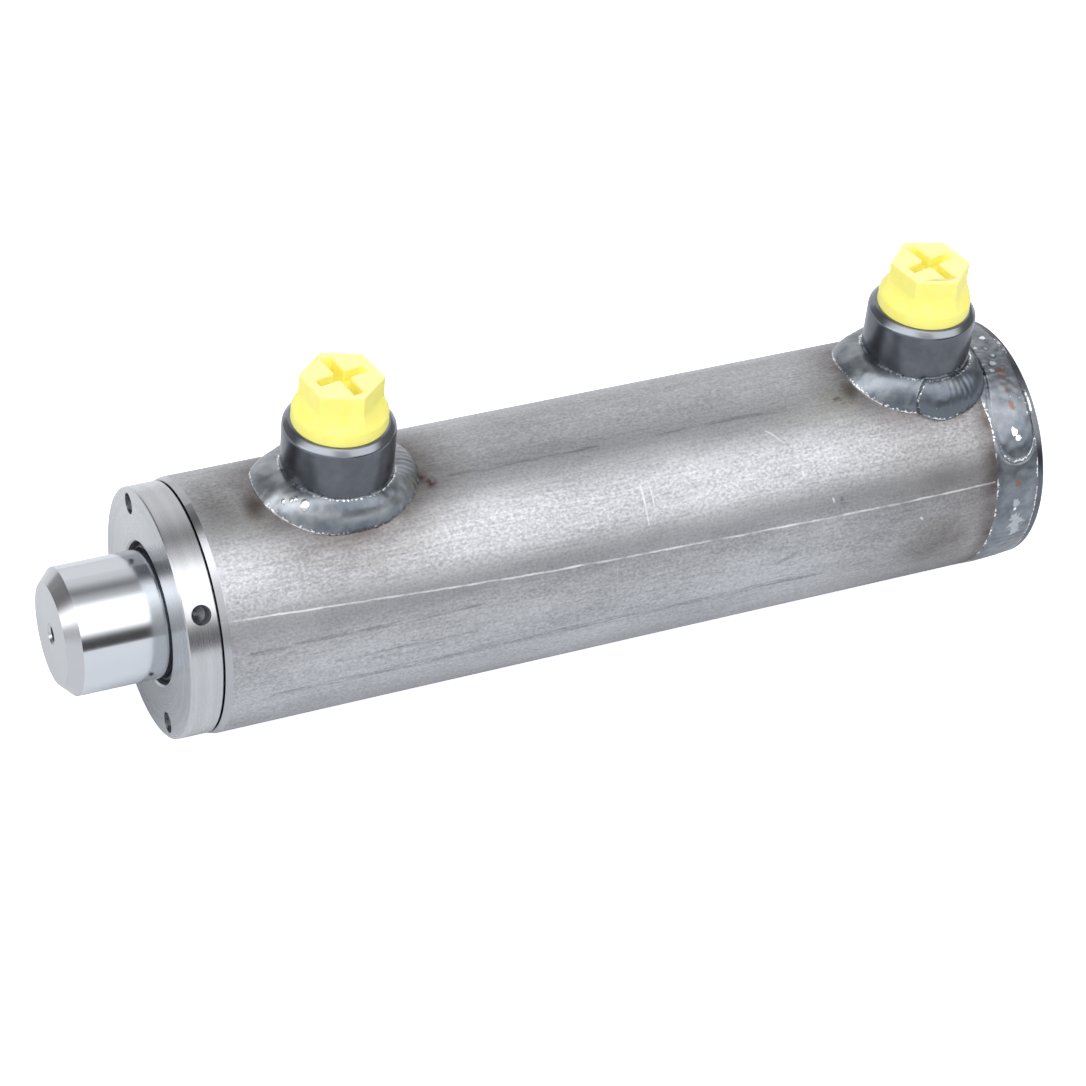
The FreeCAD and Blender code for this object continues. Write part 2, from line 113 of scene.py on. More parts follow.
def srgb(code, alpha=1.0):
    """Linear colour from an sRGB hex code such as "c8cacc"."""
    parts = [int(code[k:k + 2], 16) / 255 for k in (0, 2, 4)]
    linear = [c / 12.92 if c <= 0.04045 else ((c + 0.055) / 1.055) ** 2.4 for c in parts]
    return (*linear, alpha)


def colour(code, name, description):
    """A colour property whose default is an sRGB hex code."""
    return bpy.props.FloatVectorProperty(
        name=name, description=description, subtype="COLOR", size=4, min=0, max=1, default=srgb(code)
    )


def length(millimetres, name, description):
    """A length property in metres with a default in millimetres."""
    return bpy.props.FloatProperty(
        name=name, description=description, unit="LENGTH", subtype="DISTANCE", default=millimetres * MM,
        precision=5,
    )


class SteelSettings(bpy.types.PropertyGroup):
    """Colours of the bare metals."""
    drawn: colour("c6c7cb", "Drawn tube", "Raw cold-drawn steel of the barrel")
    drawn_dark: colour("9d9ea2", "Drawn tube, dark", "Oily grain and drawing lines on the barrel")
    # Also the colour of the painted shade beside the welds
    heat_tint_and_shade: colour("645d59", "Heat tint", "Oxide that the welding heat left on the barrel")
    turned: colour("c6c8cb", "Turned steel", "Bright turned steel of the gland")
    chrome: colour("d2d6dc", "Chrome", "Hard chrome on the rod")
    oxide: colour("6c7077", "Dark bosses", "Heat-blued steel of the port bosses")
    weld: colour("b2b6bb", "Weld metal", "Cooled weld bead, light skin")
    weld_dark: colour("6a717a", "Weld metal, dark", "Cooled weld bead, blue-grey skin")
    # The weld toe colour is also the colour of the painted highlights on the beads
    weld_bright_and_glint: colour("f0f1f3", "Weld toe", "Bright fused metal along a bead's edge")
    slag: colour("8a736b", "Slag spot", "Brown silicate spots on the base weld")


class WeldSettings(bpy.types.PropertyGroup):
    """Sizes of the weld beads."""
    ripple_pitch: length(1.7, "Ripple pitch", "Distance from one ripple to the next")
    ripple_height: length(0.07, "Ripple height", "Height of one ripple")
    bulge: length(0.9, "Bulge", "How far a port's bead stands off the line between its toes")
    lap_height: length(0.85, "Lap height", "Height of the step where a bead laps over its start")


class PlugSettings(bpy.types.PropertyGroup):
    """Sizes and colour of the moulded port plugs."""
    hexagon_top_width: length(16.8, "Hexagon top width", "Width across the flats at the top")
    edge_radius: length(0.5, "Edge radius", "Rounding round the hexagon's top")
    slot_edge_radius: length(0.6, "Slot edge radius", "Rounding of the slots' edges")
    flange_height: length(3.0, "Flange height", "Thickness of the seating flange")
    flare_height: length(4.0, "Flare height", "How far above the flange the hexagon starts to flare out")
    shank_length: length(8.0, "Shank length", "Length of the threaded shank")
    slot_width: length(2.5, "Slot width", "Width of the crossed slots")
    slot_depth: length(3.6, "Slot depth", "Depth of the crossed slots")
    long_slot: length(15.0, "Long slot", "Length of the longer slot")
    short_slot: length(12.6, "Short slot", "Length of the shorter slot")
    plastic: colour("fdf488", "Plastic", "Yellow low-density polythene")


class StudioSettings(bpy.types.PropertyGroup):
    """Camera and light."""
    lens: bpy.props.FloatProperty(
        name="Lens", description="Focal length for a 36 mm sensor", subtype="DISTANCE_CAMERA", default=115.869
    )
    camera_place: bpy.props.FloatVectorProperty(
        name="Camera place", description="Where the camera stands", subtype="TRANSLATION", unit="LENGTH",
        default=(0.421744, 0.570709, 0.523187),
    )
    softbox: bpy.props.FloatProperty(
        name="Softbox", description="Brightness of the overhead softbox", default=2.6, min=0
    )
    floor: colour("eff1f4", "Floor", "What the light table reflects itself")


def settings(name):
    """One of this file's property groups in the current scene."""
    return getattr(bpy.context.scene, name)


# Materials


def connect(tree, node, inputs):
    """Sets a node's inputs, by name or by their order, to values, or links them to nodes or sockets."""
    live = [socket for socket in node.inputs if socket.enabled]
    for key, value in inputs.items():
        socket = live[key] if isinstance(key, int) else next(s for s in live if s.name == key)
        if isinstance(value, bpy.types.Node):
            value = next(s for s in value.outputs if s.enabled)
        if isinstance(value, bpy.types.NodeSocket):
            tree.links.new(value, socket)
        else:
            socket.default_value = value


def add_node(tree, kind, *values, inputs=None, **options):
    """Adds a node with its options. kind names its operation or type of data too, as in "Math ADD".
    Values fill its inputs in their order, and inputs sets them by name."""
    kind, *choice = kind.split()
    node = tree.nodes.new("ShaderNode" + kind)
    if choice:
        setattr(node, "data_type" if kind == "Mix" else "operation", choice[0])
    for name, value in options.items():
        setattr(node, name, value)
    connect(tree, node, {**dict(enumerate(values)), **(inputs or {})})
    return node


def new_material(name):
    """An empty node material, and what adds a node to it."""
    material = bpy.data.materials.new(name)
    material.use_nodes = True
    return material, partial(add_node, material.node_tree)


def shade(material, inputs):
    """Sets or links the inputs of a material's shader, and returns the material."""
    connect(material.node_tree, material.node_tree.nodes["Principled BSDF"], inputs)
    return material


def place_mm(add):
    """X, Y and Z in the object, in millimetres."""
    scaled = add("VectorMath SCALE", add("TexCoord").outputs["Object"], PER_MM)
    return add("SeparateXYZ", scaled).outputs


def radius_mm(add):
    """The distance from the cylinder's axis, in millimetres."""
    parts = place_mm(add)
    return add("VectorMath LENGTH", add("CombineXYZ", parts["Y"], parts["Z"]))


def noise_at(add, along, across, detail, roughness=0.6):
    """Noise whose features are about these millimetres along X and across it."""
    scale = (PER_MM / along, PER_MM / across, PER_MM / across)
    place = add("Mapping", add("TexCoord").outputs["Object"], inputs={"Scale": scale})
    return add("TexNoise", inputs={"Vector": place, "Scale": 1.0, "Detail": detail, "Roughness": roughness})


def lathe_marks(add, spacing):
    """A value that changes only along the axis and with the radius, as a turning tool's marks do."""
    profile = add("CombineXYZ", place_mm(add)["X"], radius_mm(add))
    place = add("VectorMath SCALE", profile, 1 / spacing)
    return add("TexNoise", inputs={"Vector": place, "Scale": 1.0, "Detail": 3.0})


def barrel_place(add):
    """(X, arc length from the top towards the camera's side) on the barrel, in millimetres."""
    parts = place_mm(add)
    turn = add("Math ARCTAN2", parts["Y"], parts["Z"])
    return add("CombineXYZ", parts["X"], add("Math MULTIPLY", turn, BARREL_RADIUS))


def on_barrel(x, degrees):
    """A mark's place in the same coordinates as barrel_place."""
    return (x, radians(degrees) * BARREL_RADIUS, 0.0)


# Marks on the barrel, seen in the photograph, as (X in mm, degrees from the top). Each scratch is its
# width in mm and the places that it runs through.
SCRATCHES = [
    (0.38, [(211, 58.5), (194.9, 60.3), (177.7, 62.3), (155.4, 64.8), (133.2, 67), (113, 68.2)]),
    (0.39, [(113, 68.2), (79.7, 69.8), (57.4, 70.8), (35.2, 71.3), (14.5, 71)]),
    (0.36, [(106.3, 38), (106.3, 56)]),
    (0.32, [(104.1, 35), (104.1, 52)]),
    (0.28, [(106.3, 70), (106, 103)]),
    (0.28, [(139.9, 74), (139.9, 80)]),
    (0.24, [(115.4, 70), (115.4, 82)]),
    (0.24, [(81.9, 83), (81.9, 103)]),
    (0.30, [(71.3, 25), (70.2, 27), (68.6, 31)]),
    (0.22, [(163, 57), (158.5, 55.8), (154, 53.5)]),
    (0.26, [(142, 57.5), (140.2, 55.5)]),
    (0.20, [(187, 55), (178.5, 51.5)]),
    (0.16, [(184.9, 87), (182.5, 79)]),
    (0.60, [(65.2, 47.4), (65.1, 49.2)]),
    (0.50, [(70.2, 39.6), (70, 40.4)]),
    (0.40, [(58.4, 61.8), (58.2, 63.5)]),
    (0.50, [(34.7, 80.8), (34.4, 81.4)]),
]
DARK_LINES = [
    (0.9, [(150, 14.6), (113, 15.6)]),
    (0.9, [(98, 15.8), (64, 15.9)]),
    (1.2, [(200, 100.6), (60, 101.2)]),
    (0.8, [(205, 75.2), (150, 75.7)]),
    (0.6, [(185, 88.2), (150, 88.6)]),
    (0.5, [(113, 88.4), (96, 88.2)]),
    (0.7, [(56.2, 62), (55.8, 66.5)]),
    (0.9, [(74, 89.5), (68.8, 85.5)]),
]
# Rust and burnt spatter: place, and reach along X and round the barrel in mm
RUST_SPOTS = [(157, 13, 3, 2.6), (155.2, 16.5, 2.6, 2.4), (50.2, 16.7, 1.9, 1.1)]
# Darker brown-grey spots beside the welds, partly heat tint and partly painted shade: place,
# reach along X and round the barrel in mm, and strength
HEAT_AND_SHADE_SPOTS = [
    (196, 9, 6.5, 9, 1),
    (187, 36, 9, 5, 0.55),
    (176, 38, 15, 6, 0.4),
    (157, 17, 5, 5, 0.6),
    (45.5, 12, 6, 8, 0.9),
    (204, 4, 11, 14, 0.5),
    (26, 48, 22, 12, 0.3),
    (28, 66, 20, 14, 0.5),
    (38, 74, 20, 14, 0.35),
    (27, 98, 24, 20, 0.75),
]


def greatest(add, values):
    """The greatest of several values."""
    total = 0.0
    for value in values:
        total = add("Math MAXIMUM", total, value)
    return total


def line_mask(add, place, start, end, width):
    """1 along a straight scratch and 0 away from it."""
    step = Vector(end) - Vector(start)
    offset = add("VectorMath SUBTRACT", place, start)
    along = add("VectorMath DOT_PRODUCT", offset, tuple(step / step.length_squared))
    nearest = add("VectorMath SCALE", tuple(step), add("Clamp", along))
    away = add("VectorMath DISTANCE", offset, nearest)
    return add("MapRange", away, width, 0.3 * width)


def line_marks(add, place, lines):
    """1 along all the lines of a list, and 0 away from them."""
    masks = []
    for width, stops in lines:
        for start, end in zip(stops, stops[1:]):
            masks.append(line_mask(add, place, on_barrel(*start), on_barrel(*end), width))
    return greatest(add, masks)


def spot_mask(add, place, x, degrees, along, around):
    """1 in the middle of a spot on the barrel, falling to 0 at its reach."""
    offset = add("VectorMath SUBTRACT", place, on_barrel(x, degrees))
    scaled = add("VectorMath MULTIPLY", offset, (1 / along, 1 / around, 0.0))
    away = add("VectorMath LENGTH", scaled)
    return add("MapRange", away, 1.0, 0.0, interpolation_type="SMOOTHSTEP")


def heat_and_shade_mask(add, place):
    """How strongly the barrel is darkened round both ports and along the base's bead: heat tint,
    with painted shade beside the beads.
    """
    x = place_mm(add)["X"]
    # The tint deepens slowly towards the base, and fast beside its bead
    masks = [add("MapRange", x, 60.0, 20.0, 0.0, 0.5), add("MapRange", x, 23.0, 14.5, 0.0, 0.95)]
    # Reach along X and round the barrel in mm, and strength
    ring = (36.0, 34.0, 1.65)
    port_rings = [(port_x, 0.0, *ring) for port_x in (ROD_PORT_X, BASE_PORT_X)]
    for *spot, strength in port_rings + HEAT_AND_SHADE_SPOTS:
        masks.append(add("Math MULTIPLY", spot_mask(add, place, *spot), strength))
    uneven_tint = add("MapRange", noise_at(add, 8.0, 5.0, 4.0), 0.3, 0.65, 0.75, 1.1)
    return add("Math MULTIPLY", greatest(add, masks), uneven_tint)


def make_drawn_steel():
    """Cold-drawn mild steel tube, oiled: satin, lined by the drawing, with low-contrast patches, bright
    scratches, darker streaks, brown-grey tint from the welding heat, and painted shade beside the welds."""
    steel = settings("cylinder_steel")
    material, add = new_material("cold_drawn_steel_oiled")
    grain = noise_at(add, 0.8, 0.55, 2.0)
    drawing_lines = noise_at(add, 9.0, 0.5, 4.0)
    patches = noise_at(add, 34.0, 9.0, 3.0)
    lined = add("Math MULTIPLY_ADD", drawing_lines, 0.5, grain)
    mottled = add("Math MULTIPLY_ADD", patches, 0.6, lined)
    tone = add("MapRange", mottled, 0.8, 1.3)
    base = add("Mix RGBA", tone, steel.drawn, steel.drawn_dark)
    place = barrel_place(add)
    waver = add("VectorMath SCALE", noise_at(add, 6.0, 6.0, 2.0).outputs["Color"], 0.5)
    wavy_place = add("VectorMath ADD", place, waver)
    worn = add("MapRange", drawing_lines, 0.35, 0.6)
    streaks = add("Math MULTIPLY", line_marks(add, wavy_place, DARK_LINES), worn)
    faint = add("Math MULTIPLY", streaks, 0.4)
    streaked = add("Mix RGBA", faint, base, srgb("55565a"))
    # Heat tint, and painted shade beside the welds, in one colour
    heat_and_shade = heat_and_shade_mask(add, place)
    tinted = add("Mix RGBA", heat_and_shade, streaked, steel.heat_tint_and_shade, clamp_factor=True)
    specks = add("MapRange", noise_at(add, 0.9, 0.9, 3.0), 0.35, 0.6, 0.3)
    spots = greatest(add, [spot_mask(add, wavy_place, *spot) for spot in RUST_SPOTS])
    rust = add("Math MULTIPLY", spots, specks)
    rusty = add("Mix RGBA", rust, tinted, srgb("4c3331"))
    scratches = line_marks(add, wavy_place, SCRATCHES)
    bare = add("Mix RGBA", scratches, rusty, srgb("eeeff1"))
    turned_rim = 1.75
    rim = add("MapRange", place_mm(add)["X"], BARREL_FRONT - turned_rim, BARREL_FRONT - turned_rim + 0.2)
    satin = add("MapRange", lined, 0.5, 1.0, 0.36, 0.5)
    torn = add("Mix", scratches, satin, 0.7)
    height = add("Math MULTIPLY_ADD", scratches, -1.2, lined)
    return shade(material, {
        "Base Color": add("Mix RGBA", rim, bare, srgb("b2b4b8")),
        # The burrs along a scratch scatter light all round, as a pale matt surface does
        "Metallic": add("MapRange", scratches, 0.0, 1.0, 1.0, 0.25),
        "Roughness": add("Mix", rim, torn, 0.2),
        "Normal": add("Bump", inputs={"Strength": 0.35, "Distance": 0.03 * MM, "Height": height}),
    })


def make_turned_steel():
    """Mild steel, finish turned: bright, with marks round the axis that spread light into fans on the
    faces and sharp bands on the sides, and rougher in the drilled holes, where a darker colour is painted
    shade."""
    steel = settings("cylinder_steel")
    material, add = new_material("mild_steel_finish_turned")
    # Real feed marks are 0.1 mm apart, too fine to show, so they are drawn 0.3 mm apart
    marks = lathe_marks(add, 0.3)
    tone = add("MapRange", lathe_marks(add, 2.5), 0.3, 0.7)
    bright = add("Mix RGBA", tone, steel.turned, srgb("b9bbbf"))
    # Inside the collar, behind its face and under its side, only the drilled holes can be seen:
    # they are rougher, and painted darker as shade
    under = add("MapRange", radius_mm(add), COLLAR_RADIUS - 0.4, COLLAR_RADIUS - 1.4)
    behind_face, half_depth = 5.0, 4.2
    behind = add("Math COMPARE", place_mm(add)["X"], COLLAR_FRONT - behind_face, half_depth)
    drilled_and_shaded = add("Math MULTIPLY", under, behind)
    polish = add("MapRange", marks, 0.0, 1.0, 0.2, 0.34)
    return shade(material, {
        "Base Color": add("Mix RGBA", drilled_and_shaded, bright, srgb("9a9ca1")),
        "Metallic": 1.0,
        "Roughness": add("Mix", drilled_and_shaded, polish, 0.42),
        "Normal": add("Bump", inputs={"Strength": 0.25, "Distance": 0.01 * MM, "Height": marks}),
        "Anisotropic": 0.75,
        "Anisotropic Rotation": 0.25,
        "Tangent": add("Tangent", direction_type="RADIAL", axis="X"),
    })


def make_hard_chrome():
    """Hard chrome on ground bar: a near mirror with a faint blue cast. The nose was turned after
    plating, so it is bare satin steel."""
    steel = settings("cylinder_steel")
    material, add = new_material("hard_chrome_ground")
    nose_length = 3.1
    nose = add("MapRange", place_mm(add)["X"], ROD_END - nose_length, ROD_END - nose_length + 0.15)
    polish = add("MapRange", noise_at(add, 3.0, 3.0, 5.0, 0.5), 0.0, 1.0, 0.08, 0.16)
    marks = lathe_marks(add, 0.35)
    turned = add("MapRange", marks, 0.0, 1.0, 0.17, 0.26)
    height = add("Math MULTIPLY", marks, nose)
    return shade(material, {
        "Base Color": add("Mix RGBA", nose, steel.chrome, srgb("c0c2c6")),
        "Metallic": 1.0,
        "Roughness": add("Mix", nose, polish, turned),
        "Normal": add("Bump", inputs={"Strength": 0.3, "Distance": 0.01 * MM, "Height": height}),
        "Anisotropic": 0.4,
        "Anisotropic Rotation": 0.25,
        "Tangent": add("Tangent", direction_type="RADIAL", axis="X"),
    })


def make_blued_steel():
    """Turned steel, blued by the welding heat: dark grey with a soft sheen, a painted highlight of paler
    colour on the bosses' chamfers, and worn bright in small nicks."""
    steel = settings("cylinder_steel")
    material, add = new_material("turned_steel_heat_blued")
    cloud = noise_at(add, 5.0, 5.0, 4.0)
    nicks = noise_at(add, 0.9, 0.9, 3.0)
    tone = add("MapRange", cloud, 0.3, 0.7)
    base = add("Mix RGBA", tone, steel.oxide, srgb("5b5f66"))
    # The bosses' chamfers are painted a paler colour as a highlight
    chamfer_foot = BOSS_TOP - BOSS_CHAMFER
    chamfer = add("MapRange", place_mm(add)["Z"], chamfer_foot - 0.3, chamfer_foot + 0.1)
    chamfer_highlight = add("Mix RGBA", chamfer, base, srgb("84888f"))
    worn = add("MapRange", nicks, 0.76, 0.79, 0.0, 0.4)
    sheen = add("MapRange", cloud, 0.0, 1.0, 0.18, 0.3)
    return shade(material, {
        "Base Color": add("Mix RGBA", worn, chamfer_highlight, steel.weld_bright_and_glint),
        "Metallic": 1.0,
        "Roughness": add("Mix", chamfer, sheen, 0.2),
        "Normal": add("Bump", inputs={"Strength": 0.2, "Distance": 0.02 * MM, "Height": nicks}),
    })


def make_weld_metal():
    """Mild steel weld bead, as it cooled: blue-grey skin, bright along its toes, with brown silicate
    spots and painted highlights, where the mesh marks them."""
    steel = settings("cylinder_steel")
    material, add = new_material("weld_bead_as_cooled")
    cloud = noise_at(add, 3.5, 3.5, 5.0, 0.5)
    grit = noise_at(add, 0.6, 0.6, 4.0, 0.5)
    toe_and_glint, slag, pale = [add("Attribute", attribute_name=mark).outputs["Fac"] for mark in WELD_MARKS]
    tone = add("MapRange", cloud, 0.3, 0.7, -0.25, 0.25)
    share = add("Math ADD", pale, tone, use_clamp=True)
    skin = add("Mix RGBA", share, steel.weld_dark, steel.weld)
    # The toes' bright colour also paints highlights where the mesh marks them
    near_toe_and_glint = add("Math MULTIPLY_ADD", toe_and_glint, 0.3, grit)
    fused_and_glint = add("MapRange", near_toe_and_glint, 0.72, 0.8)
    bright = add("Mix RGBA", fused_and_glint, skin, steel.weld_bright_and_glint)
    satin = add("MapRange", cloud, 0.0, 1.0, 0.26, 0.42)
    return shade(material, {
        "Base Color": add("Mix RGBA", slag, bright, steel.slag),
        "Metallic": 1.0,
        "Roughness": add("Mix", fused_and_glint, satin, 0.14),
        "Normal": add("Bump", inputs={"Strength": 0.4, "Distance": 0.04 * MM, "Height": grit}),
    })


def make_yellow_polythene():
    """Low-density polythene, injection moulded: waxy, slightly see-through, faintly mottled, and
    painted paler on its top as a sheen."""
    plug = settings("cylinder_plugs")
    material, add = new_material("polythene_moulded_yellow")
    mottle = noise_at(add, 2.2, 2.2, 3.0, 0.5)
    tone = add("MapRange", mottle, 0.3, 0.7)
    moulded = add("Mix RGBA", tone, plug.plastic, srgb("fcf17a"))
    # A painted highlight: the top is paler where the overhead light falls on it
    sheen_height = 0.9
    top_sheen = add("MapRange", place_mm(add)["Z"], PLUG_TOP - sheen_height, PLUG_TOP, 0.0, 0.4)
    return shade(material, {
        "Base Color": add("Mix RGBA", top_sheen, moulded, srgb("fdf7d4")),
        "Roughness": add("MapRange", mottle, 0.0, 1.0, 0.38, 0.52),
        "IOR": 1.51,
        "Normal": add("Bump", inputs={"Strength": 0.3, "Distance": 0.05 * MM, "Height": mottle}),
        "Subsurface Weight": 0.35,
        "Subsurface Radius": (1.0, 0.85, 0.2),
        "Subsurface Scale": 1.5 * MM,
    })


def make_seal_material(name, dark, light, smoothest, roughest, ior, machined=False):
    """A rubber or plastic of two near tones, in soft clouds from the mould or rings from the lathe."""
    material, add = new_material(name)
    pattern = lathe_marks(add, 0.4) if machined else noise_at(add, 1.5, 1.5, 3.0, 0.5)
    return shade(material, {
        "Base Color": add("Mix RGBA", pattern, srgb(dark), srgb(light)),
        "Roughness": add("MapRange", pattern, 0.0, 1.0, smoothest, roughest),
        "IOR": ior,
    })


def make_light_table():
    """Opal acrylic of a light table. Seen directly it is burnt out to an even white, as in the
    photograph. The steel still reflects it with the cylinder's soft shadow on it."""
    material, add = new_material("opal_acrylic_back_lit")
    white = add("MapRange", noise_at(add, 60.0, 60.0, 2.0, 0.5), 0.0, 1.0, 0.95, 1.0)
    seen = add("LightPath").outputs["Is Camera Ray"]
    return shade(material, {
        "Base Color": tuple(settings("cylinder_studio").floor),
        "Roughness": 0.9,
        "IOR": 1.49,
        "Specular IOR Level": 0.1,
        "Emission Color": srgb("f4f8ff"),
        "Emission Strength": add("Math MULTIPLY", white, seen),
    })


def dress(piece, material):
    """Gives an object this finish alone."""
    piece.data.materials.clear()
    piece.data.materials.append(material)


def give(material, *nodes):
    """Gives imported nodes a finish."""
    for name in nodes:
        dress(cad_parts[name], material)


# Meshes


def smooth(mesh, sharp_degrees):
    """Smooth shading, except at edges sharper than this."""
    mesh.shade_smooth()
    mesh.set_sharp_from_angle(angle=radians(sharp_degrees))


def new_piece(name, points, faces, sharp_degrees=35.0):
    """A mesh object from points in millimetres, smooth except at edges sharper than this."""
    mesh = bpy.data.meshes.new(name)
    mesh.from_pydata([Vector(p) * MM for p in points], [], faces)
    model = bmesh.new()
    model.from_mesh(mesh)
    bmesh.ops.remove_doubles(model, verts=model.verts, dist=0.001 * MM)
    bmesh.ops.dissolve_degenerate(model, edges=model.edges, dist=0.001 * MM)
    bmesh.ops.recalc_face_normals(model, faces=model.faces)
    model.to_mesh(mesh)
    model.free()
    smooth(mesh, sharp_degrees)
    piece = bpy.data.objects.new(name, mesh)
    bpy.context.scene.collection.objects.link(piece)
    return piece


def skin_ring(loops):
    """Points and faces of a closed ring skinned over closed loops of points."""
    points = [p for loop in loops for p in loop]
    size, turns = len(loops[0]), len(loops)
    faces = []
    for a in range(turns):
        b = (a + 1) % turns
        for k in range(size):
            n = (k + 1) % size
            faces.append((a * size + k, b * size + k, b * size + n, a * size + n))
    return points, faces


def even_turns(count):
    """Angles evenly spaced round a circle."""
    return [2 * pi * k / count for k in range(count)]


def turned_upright(outline_at, x, turns):
    """A closed outline of (radius, height) points, which may change with the angle, turned about the
    vertical line at x."""
    loops = []
    for turn in turns:
        outline = outline_at(turn)
        loops.append([(x + radius * cos(turn), radius * sin(turn), height) for radius, height in outline])
    return skin_ring(loops)


def rounded(corners, steps=4):
    """An outline of (radius, height) points from corners of (radius, height, edge radius)."""
    points = []
    for k, (r, z, edge) in enumerate(corners):
        here = Vector((r, z))
        if not edge:
            points.append((r, z))
            continue
        before = (Vector(corners[k - 1][:2]) - here).normalized() * edge
        after = (Vector(corners[(k + 1) % len(corners)][:2]) - here).normalized() * edge
        for step in range(steps + 1):
            t = step / steps
            points.append(tuple(here + before * (1 - t) ** 2 + after * t ** 2))
    return points


def flank(height, turn, start, end):
    """How far a right-hand pipe thread stands off its pitch radius, fading out at both ends."""
    phase = (height / THREAD_PITCH - turn / (2 * pi)) % 1
    wave = min(max((4 * abs(phase - 0.5) - 1) * 1.25, -1), 1)
    fade = min(max(min(height - start, end - height) / THREAD_PITCH, 0), 1)
    return THREAD_DEPTH / 2 * wave * fade


def thread_stretch(radius, start, end):
    """Outline points along a thread, eight to each turn of it."""
    count = round(abs(end - start) / THREAD_PITCH * 8)
    return [(radius, start + (end - start) * k / count) for k in range(count + 1)]


def modify(piece, kind, **options):
    """Makes a modifier with these options part of a piece's mesh."""
    modifier = piece.modifiers.new(kind, kind)
    for name, value in options.items():
        setattr(modifier, name, value)
    result = bpy.data.meshes.new_from_object(piece.evaluated_get(bpy.context.evaluated_depsgraph_get()))
    piece.modifiers.clear()
    piece.data = result


def combine(piece, tool, operation):
    """Joins a piece with a tool's shape, or cuts that shape out of it, and deletes the tool."""
    modify(piece, "BOOLEAN", operation=operation, solver="EXACT", object=tool)
    bpy.data.objects.remove(tool)


def merge_level_faces(piece):
    """Makes one face of all the level faces at each end of a turned piece."""
    model = bmesh.new()
    model.from_mesh(piece.data)
    for side in (1, -1):
        level = [face for face in model.faces if face.normal.z * side > 0.9999]
        bmesh.ops.dissolve_faces(model, faces=level)
    model.to_mesh(piece.data)
    model.free()


def finish_piece(piece, node, body, material):
    """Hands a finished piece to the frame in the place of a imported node."""
    dress(piece, material)
    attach(piece, body)
    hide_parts(node)


# Port bosses


def make_boss(name, x):
    """Round boss with a chamfered top, a threaded socket and an oil hole."""
    foot = BARREL_RADIUS - 3.5
    mouth_radius = 8.8
    oil_hole_radius = 5.0
    thread_top = BOSS_TOP - 0.9
    thread_foot = BOSS_TOP - SOCKET_DEPTH
    cone = (SOCKET_PITCH_RADIUS - oil_hole_radius) * 0.6
    outside = rounded([
        (oil_hole_radius, foot, 0),
        (BOSS_RADIUS, foot, 0),
        (BOSS_RADIUS, BOSS_TOP - BOSS_CHAMFER, 0.6),
        (BOSS_RADIUS - BOSS_CHAMFER, BOSS_TOP, 0.5),
        (mouth_radius, BOSS_TOP, 0.3),
    ])

    def outline_at(turn):
        thread = [
            (radius + flank(height, turn, thread_foot, thread_top), height)
            for radius, height in thread_stretch(SOCKET_PITCH_RADIUS, thread_top, thread_foot)
        ]
        return outside + thread + [(oil_hole_radius, thread_foot - cone)]

    return new_piece(name, *turned_upright(outline_at, x, even_turns(144)))


class AddPortBosses(bpy.types.Operator):
    """Adds the two port bosses with their threaded sockets"""
    bl_idname = "cylinder.add_port_bosses"
    bl_label = "Port bosses"

    def execute(self, context):
        blued = make_blued_steel()
        for port, x in (("rod_port", ROD_PORT_X), ("base_port", BASE_PORT_X)):
            boss = make_boss(port + "_boss_threaded", x)
            finish_piece(boss, port + "_boss", "barrel", blued)
        return {"FINISHED"}


# Plugs


def hexagon_reach(turn, half_width, corner_radius):
    """How far a hexagon with rounded corners reaches, at an angle from the middle of a flat."""
    off = abs((turn + pi / 6) % (pi / 3) - pi / 6)
    if half_width * tan(off) <= (half_width - corner_radius) * tan(pi / 6):
        return half_width / cos(off)
    aside = pi / 6 - off
    centre = (half_width - corner_radius) / cos(pi / 6)
    return centre * cos(aside) + sqrt(corner_radius ** 2 - (centre * sin(aside)) ** 2)


def plug_head_outline(turn):
    """Half section of the plug's head, at an angle from the middle of a flat: flange, hexagon, and
    between them a flare that is straight under the corners and hollow under the flats."""
    plug = settings("cylinder_plugs")
    flange_top = PLUG_SEAT + plug.flange_height / MM
    flare = plug.flare_height / MM
    edge = plug.edge_radius / MM
    half_width = plug.hexagon_top_width / MM / 2
    corner_radius = 0.6
    draft = 0.1
    circle = PLUG_FLANGE_RADIUS - draft
    hexagon = hexagon_reach(turn, half_width, corner_radius)
    off = abs((turn + pi / 6) % (pi / 3) - pi / 6)
    hollow = 2 - off / (pi / 6)
    corners = [(0, PLUG_SEAT, 0), (PLUG_FLANGE_RADIUS, PLUG_SEAT, 0.15), (circle, flange_top, 0.35)]
    flare_steps = 9
    for k in range(1, flare_steps + 1):
        t = k / flare_steps
        corners.append((hexagon + (circle - hexagon) * (1 - t) ** hollow, flange_top + flare * t, 0))
    for k in range(5):
        bend = k * pi / 8
        inset = edge * (1 - cos(bend))
        reach = hexagon_reach(turn, half_width - inset, corner_radius - inset)
        corners.append((reach, PLUG_TOP - edge * (1 - sin(bend)), 0))
    corners.append((0, PLUG_TOP, 0))
    return rounded(corners)


def hexagon_turns():
    """Angles round a hexagon, close together at its corners."""
    beside_flat = [6, 12, 18, 23, 26.5, 28.2, 28.8, 29.4]
    one_side = [-d for d in reversed(beside_flat)] + [0] + beside_flat + [30]
    return [radians(60 * side + degrees) for side in range(6) for degrees in one_side]


